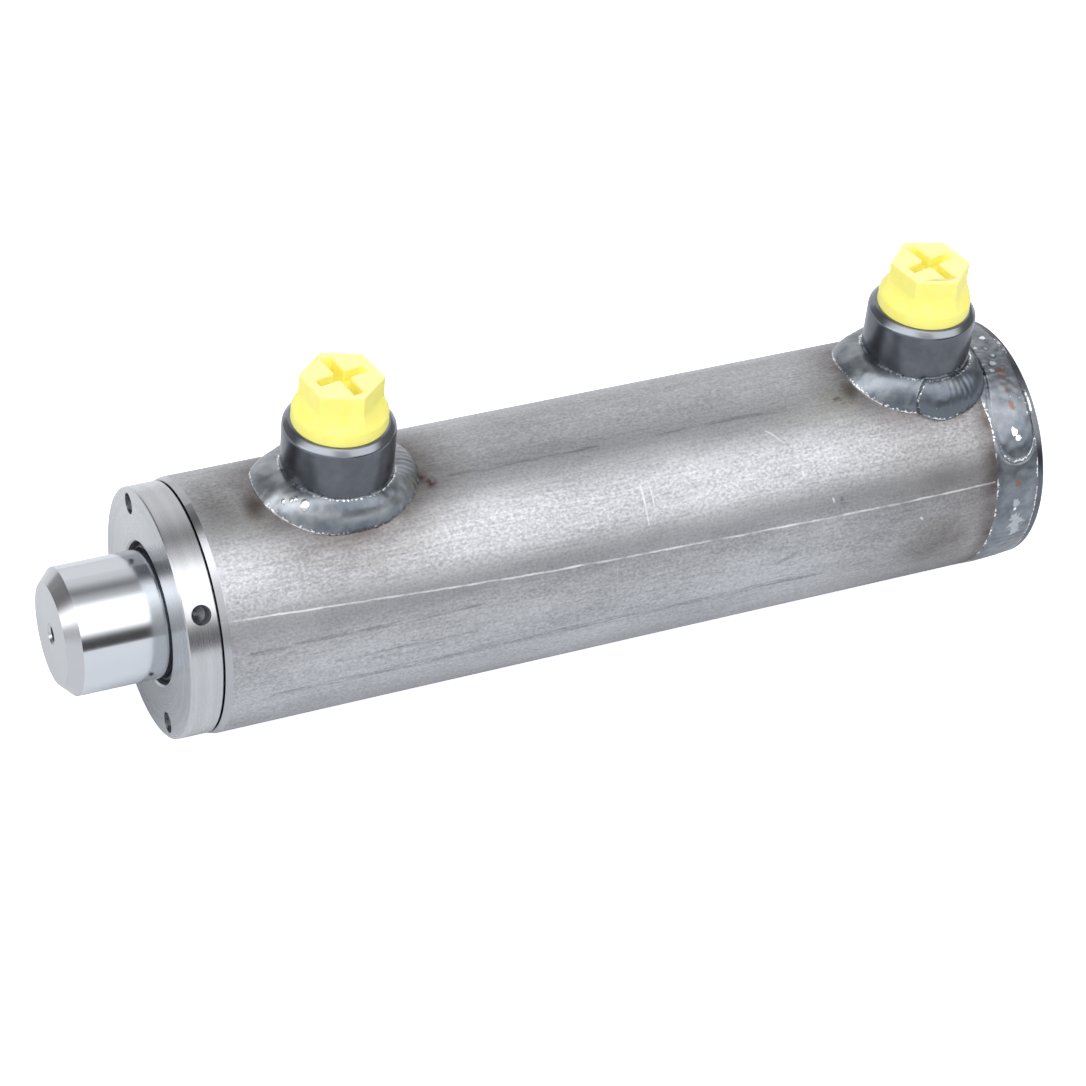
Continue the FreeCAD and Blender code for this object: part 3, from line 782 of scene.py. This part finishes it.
def make_slot_cutter(x, turn, slot_length):
    """Wedge-ended bar that cuts one of the crossed slots."""
    plug = settings("cylinder_plugs")
    half_width = plug.slot_width / MM / 2
    depth = plug.slot_depth / MM
    end_slope = 1.6
    draft = 0.15
    above = 1.0
    foot = (PLUG_TOP - depth, end_slope, draft)
    mouth = (PLUG_TOP + above, -end_slope * above / depth, 0)
    points = []
    for height, shrink, narrow in (foot, mouth):
        half = slot_length / MM / 2 - shrink
        side = half_width - narrow
        for a, b in ((-half, -side), (half, -side), (half, side), (-half, side)):
            points.append((x + a * cos(turn) - b * sin(turn), a * sin(turn) + b * cos(turn), height))
    faces = [(3, 2, 1, 0), (4, 5, 6, 7), (0, 1, 5, 4), (1, 2, 6, 5), (2, 3, 7, 6), (3, 0, 4, 7)]
    return new_piece("slot_cutter", points, faces)


def make_plug(name, x, turn):
    """Moulded plug: hollow threaded shank, seating flange and hexagon with crossed slots."""
    plug = settings("cylinder_plugs")
    shank_foot = PLUG_SEAT - plug.shank_length / MM
    hollow_radius = 5.8
    skin = 1.2
    root_radius = PLUG_PITCH_RADIUS - 0.8
    neck_radius = PLUG_PITCH_RADIUS - 0.4
    thread_start = shank_foot + 0.8
    thread_end = PLUG_SEAT - 0.8
    overlap = PLUG_SEAT + 0.6
    turns = [turn + step for step in hexagon_turns()]
    head = new_piece(name, *turned_upright(lambda angle: plug_head_outline(angle - turn), x, turns))
    merge_level_faces(head)
    for slot_length, quarter in ((plug.short_slot, 0), (plug.long_slot, pi / 2)):
        combine(head, make_slot_cutter(x, turn + quarter, slot_length), "DIFFERENCE")
    modify(
        head, "BEVEL", width=plug.slot_edge_radius, segments=4, limit_method="ANGLE", angle_limit=radians(40)
    )

    def shank_outline(angle):
        thread = [
            (radius + flank(height, angle, thread_start, thread_end), height)
            for radius, height in thread_stretch(PLUG_PITCH_RADIUS, thread_start, thread_end)
        ]
        inside = [(0, PLUG_SEAT - skin), (hollow_radius, PLUG_SEAT - skin), (hollow_radius, shank_foot)]
        neck = [(neck_radius, PLUG_SEAT - 0.4), (neck_radius, overlap), (0, overlap)]
        return inside + [(root_radius, shank_foot)] + thread + neck

    combine(head, new_piece("shank", *turned_upright(shank_outline, x, even_turns(96))), "UNION")
    smooth(head.data, 32)
    # Keeps the hexagon's flats flat beside their rounded edges
    modify(head, "WEIGHTED_NORMAL", keep_sharp=True)
    return head


class AddPortPlugs(bpy.types.Operator):
    """Adds the two moulded port plugs"""
    bl_idname = "cylinder.add_port_plugs"
    bl_label = "Port plugs"

    def execute(self, context):
        polythene = make_yellow_polythene()
        for port, x, degrees in (("rod_port", ROD_PORT_X, 9.5), ("base_port", BASE_PORT_X, 13.0)):
            plug = make_plug(port + "_plug_moulded", x, radians(degrees))
            finish_piece(plug, port + "_plug", port + "_plug", polythene)
        return {"FINISHED"}


# Welds


def bump_at(value, centre, width):
    """A smooth hill of height 1 over one value."""
    return exp(-((value - centre) / width) ** 2)


def ramp(value, start, end):
    """0 before start, 1 after end and smooth between them."""
    t = min(max((value - start) / (end - start), 0), 1)
    return t * t * (3 - 2 * t)


def uneven(place, size, seed):
    """Smooth unevenness from -1 to 1 over a size in millimetres."""
    return noise.noise(Vector(place) / size + Vector((seed, 0, 0)))


def marked_ring(name, loops, marks):
    """A bead skinned over loops of points. marks holds each point's values for the material."""
    piece = new_piece(name, *skin_ring(loops), sharp_degrees=70)
    for mark, values in zip(WELD_MARKS, zip(*marks)):
        attribute = piece.data.attributes.new(mark, "FLOAT", "POINT")
        attribute.data.foreach_set("value", values)
    return piece


# Glossy drops on the rod port's bead, each with a painted highlight, as (X, Y, radius) in mm
DROPS = [
    (186.4, 10.7, 0.95), (187.9, 8.8, 0.4), (188.8, 8.6, 0.35), (190.4, 7.7, 0.4), (185.0, 6.8, 0.5),
    (184.8, 6.1, 0.45),
]


def drop_height(x, y):
    """How much of a drop's dome stands over a place on the bead, from 0 to 1."""
    height = 0.0
    for drop_x, drop_y, radius in DROPS:
        away = ((x - drop_x) ** 2 + (y - drop_y) ** 2) / radius ** 2
        height = max(height, sqrt(max(1 - away, 0)))
    return height


def port_weld(name, x, half_length, half_width, shift, top, seed, crescents, lapped):
    """Fillet bead round a boss, with its plan on the barrel half_length by half_width, moved by shift.
    top is the height of its upper toe. crescents is (start, end, strength) of the ripples, with
    the stretch that shows them in degrees. lapped lays the last run's rounded end over the first."""
    weld = settings("cylinder_welds")
    turns = 480
    steps = 32
    ripples = round(pi * (half_length + half_width) / (weld.ripple_pitch / MM))
    ripple_height = weld.ripple_height / MM * crescents[2]
    first, last = radians(crescents[0]), radians(crescents[1])
    squareness = 2.3
    lap_start = radians(70.5)
    lap_end = radians(175)
    lap_spread = 1.9
    overlap_on_base_weld = 2.1
    rise_to_rod = 0.5
    far_side_drop = 1.4
    drop_lift = 0.28
    ring_radius = 20
    centre = Vector((x + shift, 0, 0))
    loops = []
    marks = []
    for turn in even_turns(turns):
        out = Vector((cos(turn), sin(turn), 0))
        ring = ring_radius * out
        plan = abs(out.x / half_length) ** squareness + abs(out.y / half_width) ** squareness
        wobble = uneven(ring, 6.0, seed)
        reach = plan ** (-1 / squareness) + 0.2 * wobble + 0.1 * uneven(ring, 1.5, seed + 2)
        if lapped:
            reach += lap_spread * ramp(turn, lap_start - 0.05, lap_start + 0.35) * (1 - ramp(turn, 2.0, 2.7))
            if out.x < 0:
                reach = min(reach, (x - BASE_WELD_FRONT + overlap_on_base_weld) / -out.x)
        rise = rise_to_rod * out.x - far_side_drop * ramp(-out.y, 0, 0.9)
        rise += 0.2 * uneven(ring + Vector((0, 0, 9)), 3.0, seed)
        upper = Vector((x, 0, top + rise)) + out * BOSS_RADIUS
        foot = centre + out * reach
        foot.z = sqrt(BARREL_RADIUS ** 2 - foot.y ** 2)
        chord = foot - upper
        away = Vector((-chord.z * out.x, -chord.z * out.y, chord.dot(out))).normalized()
        rippled = ramp(turn, first, first + 0.3) * (1 - ramp(turn, last - 0.3, last))
        loop = []
        for step in range(steps + 1):
            s = step / steps
            arch = 4 * s * (1 - s)
            place = upper + chord * s
            dome = arch ** 0.85 * (1.1 - 0.2 * s) * (1 + 0.16 * uneven(place, 5.0, seed + 3))
            lift = weld.bulge / MM * (1 + 0.45 * abs(out.y)) * dome
            crescent = cos(turn * ripples + 5.0 * (s - 0.45) ** 2 + 2.0 * wobble)
            lift += ripple_height * crescent * rippled * sqrt(arch)
            lift += 0.06 * uneven(place, 1.6, seed + 5) * min(1, 1.5 * arch)
            toe_and_glint = max(1.3 - s / 0.08, 1.4 - (1 - s) / 0.09, 0)
            if lapped:
                front = lap_start - 0.09 * sin(pi * s)
                over = ramp(turn, front, front + 0.06) * (1 - ramp(turn, lap_end - 0.5, lap_end))
                lift += weld.lap_height / MM * over * arch ** 0.3
                lift -= 0.05 * bump_at(turn, front - 0.03, 0.03) * min(1, 2 * arch)
                toe_and_glint = max(toe_and_glint, 0.8 * bump_at(turn, front + 0.04, 0.025))
                pale = 0.4 - 0.6 * ramp(s, 0.3, 0.65) * bump_at(turn, 1.7, 0.8)
                pale -= 0.15 * abs(out.y) + 0.4 * over * bump_at(s, 0.5, 0.35)
            else:
                drop = drop_height(place.x + away.x * lift, place.y + away.y * lift)
                lift += drop_lift * drop
                # A painted highlight on each drop
                toe_and_glint = max(toe_and_glint, 2.2 * ramp(drop, 0, 0.5))
                # On the side towards +Y the bead is painted paler along its crown and darker above and below
                # it: a painted highlight along the crown, with painted shade beside it
                crown_highlight = 1.5 * bump_at(s, 0.5, 0.16)
                pale = 0.65 - 0.15 * abs(out.y) - 0.5 * bump_at(turn, 1.5, 0.75) * (1 - crown_highlight)
            loop.append(place + away * lift)
            marks.append((toe_and_glint, 0.0, pale))
        buried = centre + out * (reach - 0.8)
        buried.z = foot.z - 1.5
        inside = Vector((x, 0, BARREL_RADIUS - 2)) + out * (BOSS_RADIUS - 0.6)
        loop += [buried, inside, upper - out * 0.4 - Vector((0, 0, 0.3))]
        loops.append(loop)
        marks += [UNMARKED] * 3
    return marked_ring(name, loops, marks)


# Marks on the base's bead as (X in mm, degrees from the top, radius in mm)
SLAG_SPOTS = [(6.7, 36.8, 1.0), (7.4, 73.7, 1.1), (6.0, 18.9, 1.2), (6.4, 22.5, 0.9), (6.6, 29.4, 0.5)]
# Painted highlights on the bead
GLINT_SPOTS = [
    (7.7, 49.0, 1.0), (7.0, 52.0, 0.7), (8.6, 4.0, 0.7), (5.2, -2.0, 0.6), (7.9, 87.0, 0.4),
]
DULL_SPOTS = [(6.7, 97.0, 1.9), (7.3, 92.5, 1.3), (6.4, 102.0, 1.3), (7.6, 84.0, 1.2)]
PITS = [(7.2, 15.5, 0.8), (6.4, 6.2, 0.6), (5.9, 10.7, 0.7), (8.2, 19.0, 0.6), (4.6, 1.0, 0.5)]


def spot_strength(x, degrees, spots):
    """How far inside one of the spots a place on the bead is, from 0 to 1."""
    strength = 0.0
    for spot_x, spot_degrees, radius in spots:
        arc = radians(degrees - spot_degrees) * BARREL_RADIUS
        away = sqrt((x - spot_x) ** 2 + arc ** 2)
        ragged = radius * (1 + 0.9 * uneven((x, arc, spot_x), 0.8, 4.0))
        strength = max(strength, 1 - ramp(away, 0.7 * ragged, 1.1 * ragged))
    return strength


def tongue_place(x, degrees):
    """Where a place on the base's bead is on the rounded end of its last run: 0 in its middle, 1 at
    its edge."""
    middle = 7.4
    half = 5.4
    if x > middle:
        half = 2.8 + 2.6 * ramp(degrees, 15, 42)
    beyond = max(degrees - 45, 0) / 17.6
    return (abs(x - middle) / half) ** 2.4 + beyond ** 2.4


def base_weld(name):
    """Bead round the base, with the rounded end of its last run lying over its start."""
    ripple = 0.6 * settings("cylinder_welds").ripple_height / MM
    turns = 720
    steps = 44
    tongue_start = -70.0
    widest = cad_box[1].y / MM
    rim_end = 1.9
    tongue_lift = 0.4
    crease_depth = 0.14
    pit_depth = 0.4
    loops = []
    marks = []
    for turn in even_turns(turns):
        degrees = turn * 180 / pi
        if degrees > 180:
            degrees -= 360
        out = Vector((0, sin(turn), cos(turn)))
        ring = out * BARREL_RADIUS
        # Both toes waver, and the rear one reaches out over the rim at two places
        rear = rim_end + 0.3 * uneven(ring, 5.0, 1.0) - 0.8 * bump_at(degrees, 4, 12)
        rear -= 0.8 * bump_at(degrees, 36, 10)
        front = BASE_WELD_FRONT + 0.1 + 0.25 * uneven(ring, 6.0, 2.0) + 0.3 * bump_at(degrees, 34, 6)
        limit = widest / max(abs(out.y), 0.001) if out.z > 0 else widest
        # The ripples show in patches, the front toe is bright in flecks and has a painted highlight near
        # 39 degrees, and the lap's start is rough
        fresh = ramp(uneven(ring, 14.0, 6.0), -0.2, 0.5)
        fleck = max(ramp(uneven(ring, 3.0, 8.0), -0.1, 0.2), bump_at(degrees, 39, 8))
        rough = 0.22 * bump_at(degrees, 4, 20)
        begun = ramp(degrees, tongue_start, tongue_start + 30)
        loop = []
        for step in range(steps + 1):
            s = step / steps
            arch = 4 * s * (1 - s)
            inner = min(1, 2 * arch)
            x = rear + (front - rear) * s
            place = ring + Vector((x, 0, 0))
            crescent = cos(radians(degrees) * 105 + 4.0 * (s - 0.5) ** 2 + uneven(ring, 8.0, 5.0))
            lift = 0.26 * arch ** 0.6 + ripple * crescent * fresh * arch
            lift += 0.1 * uneven(place, 2.2, 3.0) * inner
            toe_and_glint = max(1 - s / 0.07, (1.1 - (1 - s) / 0.07) * fleck, 0)
            # A painted highlight along the rear toe near 37 degrees
            toe_and_glint = max(toe_and_glint, (1.5 - s / 0.16) * bump_at(degrees, 37, 8))
            spot = tongue_place(x, degrees)
            over = begun * (1 - ramp(spot, 0.8, 1.0))
            lift += over * (tongue_lift + 0.25 * max(1 - spot, 0))
            lift -= crease_depth * begun * bump_at(spot, 1.14, 0.1)
            lift -= pit_depth * spot_strength(x, degrees, PITS)
            lift += rough * uneven(place, 1.3, 7.0) * inner
            if x < 8 or degrees > 50:
                toe_and_glint = max(toe_and_glint, (1.2 if x < 8 else 0.8) * begun * bump_at(spot, 1.0, 0.12))
            radius = BASE_RIM_RADIUS + (BARREL_RADIUS - BASE_RIM_RADIUS) * s + lift
            loop.append(Vector((x, 0, 0)) + out * min(radius, limit))
            # Painted highlights at the glint spots
            toe_and_glint = max(toe_and_glint, 1.8 * spot_strength(x, degrees, GLINT_SPOTS))
            pale = 0.2 + over * (0.12 - 0.25 * ramp(degrees, 38, 52))
            pale += 1.1 * spot_strength(x, degrees, DULL_SPOTS)
            marks.append((toe_and_glint, spot_strength(x, degrees, SLAG_SPOTS), pale))
        buried = BASE_RIM_RADIUS - 1.5
        for x, radius in ((front + 0.3, BARREL_RADIUS - 0.1), (front + 0.3, buried), (rear + 0.6, buried)):
            loop.append(Vector((x, 0, 0)) + out * radius)
        loops.append(loop)
        marks += [UNMARKED] * 3
    return marked_ring(name, loops, marks)


class AddWelds(bpy.types.Operator):
    """Adds the weld beads round both bosses and the base"""
    bl_idname = "cylinder.add_welds"
    bl_label = "Welds"

    def execute(self, context):
        metal = make_weld_metal()
        rod_bead = port_weld(
            "rod_port_weld_bead", ROD_PORT_X, half_length=19.3, half_width=16.1, shift=0.5, top=33.0,
            seed=11.0, crescents=(140, 215, 1.0), lapped=False,
        )
        base_bead = port_weld(
            "base_port_weld_bead", BASE_PORT_X, half_length=18.8, half_width=16.3, shift=1.0, top=32.9,
            seed=23.0, crescents=(82, 128, 0.45), lapped=True,
        )
        finish_piece(rod_bead, "rod_port_weld", "barrel", metal)
        finish_piece(base_bead, "base_port_weld", "barrel", metal)
        finish_piece(base_weld("base_weld_bead"), "base_weld", "barrel", metal)
        return {"FINISHED"}


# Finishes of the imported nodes


class FinishBarrel(bpy.types.Operator):
    """Gives the barrel and the base their steel"""
    bl_idname = "cylinder.finish_barrel"
    bl_label = "Barrel and base"

    def execute(self, context):
        give(make_drawn_steel(), "barrel_tube")
        give(make_blued_steel(), "base_cap")
        return {"FINISHED"}


class FinishGlandAndRod(bpy.types.Operator):
    """Gives the gland its turned steel and the rod its chrome"""
    bl_idname = "cylinder.finish_gland_and_rod"
    bl_label = "Gland and rod"

    def execute(self, context):
        give(make_turned_steel(), "gland", "piston", "piston_nut")
        give(make_hard_chrome(), "piston_rod")
        return {"FINISHED"}


class FinishSeals(bpy.types.Operator):
    """Gives the seals, guides and rings their rubber and plastic"""
    bl_idname = "cylinder.finish_seals"
    bl_label = "Seals and guides"

    def execute(self, context):
        # Nitrile rubber, compression moulded: near black and satin
        rubber = make_seal_material("nitrile_rubber_moulded", "141414", "232325", 0.45, 0.6, 1.52)
        give(rubber, "gland_o_ring", "piston_rod_o_ring", "piston_seal")
        # Cast polyurethane of the lip seals: dark blue-grey with a soft shine
        urethane = make_seal_material("polyurethane_moulded_dark", "1c2129", "2b313b", 0.32, 0.45, 1.5)
        give(urethane, "rod_seal", "rod_wiper", "piston_backup_ring_rear", "piston_backup_ring_front")
        # Filled plastic of the guide and backup rings, machined: matt dark green
        filled = make_seal_material(
            "filled_plastic_machined_green", "2b4a3d", "3d6151", 0.5, 0.65, 1.48, machined=True
        )
        give(
            filled, "gland_backup_ring", "rod_guide_ring_inner", "rod_guide_ring_outer",
            "piston_guide_ring_rear", "piston_guide_ring_front", "nut_locking_insert",
        )
        return {"FINISHED"}


# Studio


# Brightness of the studio by direction round the cylinder's axis, in degrees from straight up towards
# the camera's side. The sides reflect the first list: pale wall behind, a dark gap, the softbox overhead
# and the dark room in front. The second is the softbox at the rod's end, and the third what is between.
SIDE_BANDS = [
    (-180, 0.86), (-90, 0.87), (-70, 0.95), (-50, 0.95), (-35, 0.77), (-22, 0.36), (-16, 0.28), (-9, 0.46),
    (1, 0.74), (7, 1.3), (13, 2.1), (51, 2.2), (58, 1.65), (64, 0.75), (70, 0.2), (76, 0.09), (86, 0.09),
    (96, 0.85), (180, 0.85),
]
END_BANDS = [
    (-180, 0.5), (-66, 0.35), (-42, 0.22), (-26, 0.22), (-13, 0.6), (3, 1.8), (12, 2.3), (20, 2.6), (30, 2.6),
    (40, 2.5), (50, 1.7), (60, 0.85), (70, 0.7), (81, 0.7), (100, 0.66), (180, 0.58),
]
BETWEEN_BANDS = [
    (-180, 0.45), (-90, 0.9), (-70, 1.0), (-50, 0.8), (-36, 0.25), (-24, 0.15), (-14, 0.35), (-5, 1.4),
    (3, 2.2), (24, 2.2), (29, 1.7), (34, 1.4), (42, 1.0), (49, 1.1), (62, 1.1), (80, 0.6), (180, 0.45),
]
# Brightness behind the base, before the first list takes over
BEYOND_BOXES = 0.3
# Where each list takes over from the one before it, as the X of the direction
BAND_REACH = [(-0.86, -0.66, SIDE_BANDS), (-0.12, -0.02, BETWEEN_BANDS), (0.26, 0.4, END_BANDS)]


def band_ramp(add, share, bands, brightest):
    """A colour ramp round the axis from a list of (degrees, brightness)."""
    ramp_node = add("ValToRGB", share)
    stops = ramp_node.color_ramp.elements
    while len(stops) < len(bands):
        stops.new(1.0)
    for stop, (degrees, brightness) in zip(stops, bands):
        level = min(brightness, brightest) / brightest
        stop.position = (degrees + 180) / 360
        stop.color = (level, level, level, 1)
    return ramp_node


def make_studio_light(brightest):
    """Light from all round, in soft bands along the cylinder, and a pale background."""
    world = bpy.data.worlds.new("studio")
    bpy.context.scene.world = world
    world.use_nodes = True
    world.node_tree.nodes.clear()
    add = partial(add_node, world.node_tree)
    parts = add("SeparateXYZ", add("TexCoord").outputs["Generated"]).outputs
    # The softbox isn't quite in line with the cylinder
    skew = 0.19
    aside = add("Math MULTIPLY_ADD", parts["X"], skew, parts["Y"])
    turn = add("Math ARCTAN2", aside, parts["Z"])
    share = add("MapRange", turn, -pi, pi)
    light = (BEYOND_BOXES / brightest,) * 3 + (1,)
    for start, end, bands in BAND_REACH:
        along = add("MapRange", parts["X"], start, end, interpolation_type="SMOOTHSTEP")
        light = add("Mix RGBA", along, light, band_ramp(add, share, bands, brightest))
    studio = add("Background", light, brightest)
    pale = add("Background", (1, 1, 1, 1), 1.0)
    seen = add("MixShader", add("LightPath").outputs["Is Camera Ray"], studio, pale)
    add("OutputWorld", seen)


def make_floor():
    """The light table that the cylinder lies on."""
    half = 3000.0
    height = cad_box[0].z / MM
    points = [(-half, -half, height), (half, -half, height), (half, half, height), (-half, half, height)]
    floor = new_piece("table", points, [(0, 1, 2, 3)])
    floor.data.materials.append(make_light_table())


def make_camera():
    """The photograph's camera: above the rod's end, looking down at the ports' side."""
    studio = settings("cylinder_studio")
    data = bpy.data.cameras.new("photo_camera")
    data.lens = studio.lens
    data.sensor_width = 36.0
    camera = bpy.data.objects.new("photo_camera", data)
    right = Vector((-0.911329, 0.402694, 0.085539))
    up = Vector((-0.196283, -0.607668, 0.769554))
    turn = Matrix((right, up, right.cross(up))).transposed()
    camera.matrix_world = Matrix.Translation(studio.camera_place) @ turn.to_4x4()
    bpy.context.scene.collection.objects.link(camera)
    bpy.context.scene.camera = camera


class SetStage(bpy.types.Operator):
    """Sets up the table, the light and the camera"""
    bl_idname = "cylinder.set_stage"
    bl_label = "Studio"

    def execute(self, context):
        make_floor()
        make_studio_light(settings("cylinder_studio").softbox)
        make_camera()
        view = context.scene.view_settings
        view.view_transform = "Standard"
        view.look = "None"
        return {"FINISHED"}


class CylinderPanel(bpy.types.Panel):
    """Lists the pieces of the cylinder in the 3D view's sidebar"""
    bl_idname = "VIEW3D_PT_hydraulic_cylinder"
    bl_label = "Hydraulic cylinder"
    bl_space_type = "VIEW_3D"
    bl_region_type = "UI"
    bl_category = "Cylinder"

    def draw(self, context):
        for step in STEPS:
            self.layout.operator(step.bl_idname)
        for name, group in SETTING_GROUPS.items():
            box = self.layout.box()
            for field in group.__annotations__:
                box.prop(getattr(context.scene, name), field)


SETTING_GROUPS = {
    "cylinder_steel": SteelSettings,
    "cylinder_welds": WeldSettings,
    "cylinder_plugs": PlugSettings,
    "cylinder_studio": StudioSettings,
}
STEPS = [FinishBarrel, FinishGlandAndRod, FinishSeals, AddPortBosses, AddWelds, AddPortPlugs, SetStage]


def register():
    for group in SETTING_GROUPS.values():
        bpy.utils.register_class(group)
    for name, group in SETTING_GROUPS.items():
        setattr(bpy.types.Scene, name, bpy.props.PointerProperty(type=group))
    for step in STEPS:
        bpy.utils.register_class(step)
    bpy.utils.register_class(CylinderPanel)


def unregister():
    bpy.utils.unregister_class(CylinderPanel)
    for step in reversed(STEPS):
        bpy.utils.unregister_class(step)
    for name, group in SETTING_GROUPS.items():
        delattr(bpy.types.Scene, name)
        bpy.utils.unregister_class(group)


def main():
    """Builds the dressed cylinder."""
    register()
    bpy.ops.cylinder.finish_barrel()
    bpy.ops.cylinder.finish_gland_and_rod()
    bpy.ops.cylinder.finish_seals()
    bpy.ops.cylinder.add_port_bosses()
    bpy.ops.cylinder.add_welds()
    bpy.ops.cylinder.add_port_plugs()
    bpy.ops.cylinder.set_stage()


if __name__ == "__main__":
    main()
